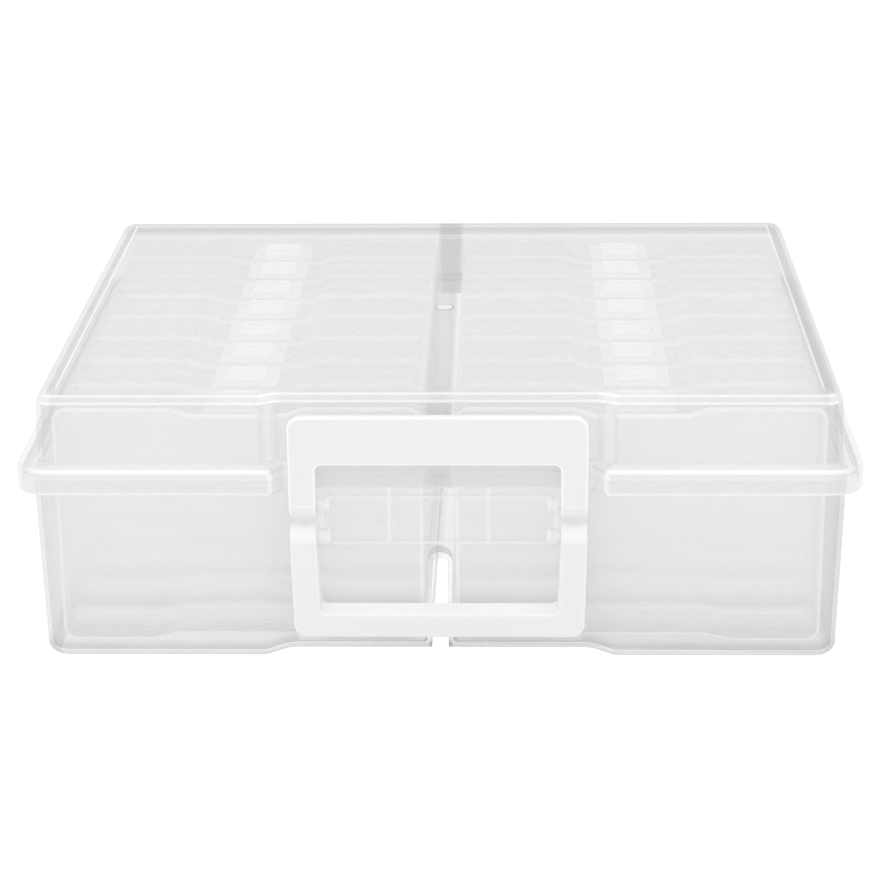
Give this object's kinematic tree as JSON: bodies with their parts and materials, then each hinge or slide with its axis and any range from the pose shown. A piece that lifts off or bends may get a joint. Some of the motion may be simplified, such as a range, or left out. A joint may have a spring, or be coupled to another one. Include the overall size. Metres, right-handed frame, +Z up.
{
  "type": "photo keeper case",
  "caption": "Clear carry case for photo prints: a tub and a hinged lid that hold rows of slim snap cases on edge, with a front latch frame and a fold-out handle.",
  "frame": {"origin": "middle of the case's footprint, at the surface that it stands on", "axes": "+X across the case to the right, seen from the front; +Y from the front, where the latch and the handle are, to the hinges at the back; +Z up"},
  "size_m": [0.375, 0.311, 0.125],
  "materials": {
    "tub_clear": "natural translucent polypropylene",
    "lid_clear": "natural translucent polypropylene",
    "inner_clear": "natural translucent polypropylene, thin",
    "grip_white": "opaque white, satin"
  },
  "bodies": {
    "case": {"tub": "tub_clear", "left_case_1_tray": "inner_clear", "left_case_1_cover": "inner_clear", "left_case_2_tray": "inner_clear", "left_case_2_cover": "inner_clear", "left_case_3_tray": "inner_clear", "left_case_3_cover": "inner_clear", "left_case_4_tray": "inner_clear", "left_case_4_cover": "inner_clear", "left_case_5_tray": "inner_clear", "left_case_5_cover": "inner_clear", "left_case_6_tray": "inner_clear", "left_case_6_cover": "inner_clear", "left_case_7_tray": "inner_clear", "left_case_7_cover": "inner_clear", "left_case_8_tray": "inner_clear", "left_case_8_cover": "inner_clear", "right_case_1_tray": "inner_clear", "right_case_1_cover": "inner_clear", "right_case_2_tray": "inner_clear", "right_case_2_cover": "inner_clear", "right_case_3_tray": "inner_clear", "right_case_3_cover": "inner_clear", "right_case_4_tray": "inner_clear", "right_case_4_cover": "inner_clear", "right_case_5_tray": "inner_clear", "right_case_5_cover": "inner_clear", "right_case_6_tray": "inner_clear", "right_case_6_cover": "inner_clear", "right_case_7_tray": "inner_clear", "right_case_7_cover": "inner_clear", "right_case_8_tray": "inner_clear", "right_case_8_cover": "inner_clear"},
    "lid": {"lid": "lid_clear"},
    "latch": {"latch": "grip_white"},
    "handle": {"handle": "grip_white"}
  },
  "joints": [
    {"name": "lid_hinge", "type": "hinge", "parent": "case", "child": "lid", "pos_m": [0, 0.15222, 0.0825], "axis": [-1, 0, 0], "range_deg": [0, 110]},
    {"name": "latch_hinge", "type": "hinge", "parent": "case", "child": "latch", "pos_m": [0, -0.14852, 0.075], "axis": [1, 0, 0], "range_deg": [0, 90]},
    {"name": "handle_hinge", "type": "hinge", "parent": "case", "child": "handle", "pos_m": [0, -0.14852, 0.0594], "axis": [-1, 0, 0], "range_deg": [0, 90]}
  ]
}
